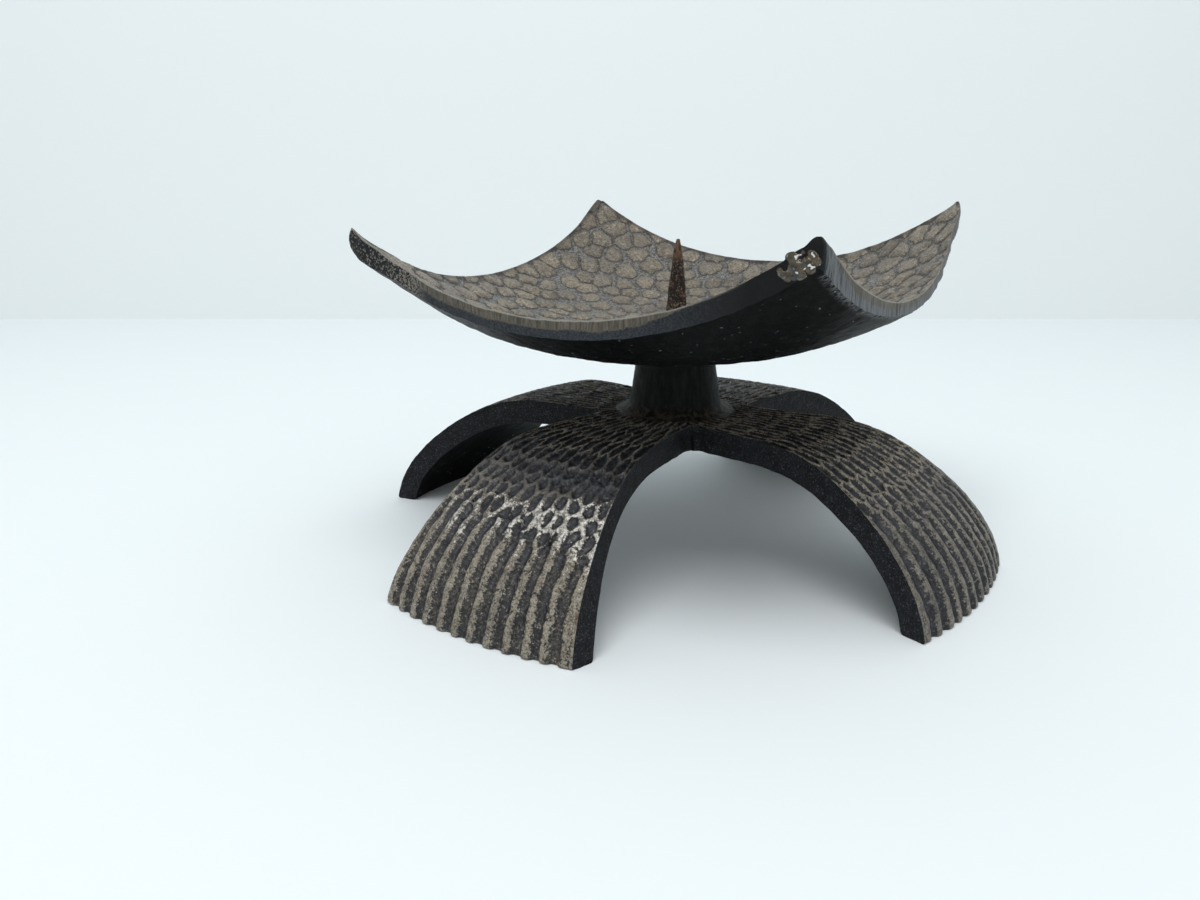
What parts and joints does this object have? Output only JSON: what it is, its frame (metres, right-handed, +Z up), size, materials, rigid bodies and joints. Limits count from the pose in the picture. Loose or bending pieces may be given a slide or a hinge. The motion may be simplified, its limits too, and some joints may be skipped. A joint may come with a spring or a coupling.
{
  "type": "pricket candle stand",
  "caption": "Cast iron candle stand: a shallow square dish with raised corners and a central spike, on a short stem over arched legs in a cross.",
  "frame": {"origin": "on the table, under the stem, midway between the feet", "axes": "+Z up along the stem and the spike; the four legs point along +X, -X, +Y and -Y"},
  "size_m": [0.1696, 0.1696, 0.0876],
  "materials": {
    "base_iron": "black, with the ridges worn to brown-grey metal",
    "dish_iron": "black below, worn to warm brown-grey inside",
    "spike_steel": "turned steel, browned and lightly rusted",
    "fastener_steel": "dull bare steel"
  },
  "bodies": {
    "root": {"leg_base": "base_iron", "dish": "dish_iron", "pricket": "spike_steel", "washer": "fastener_steel", "nut": "fastener_steel"}
  },
  "joints": []
}
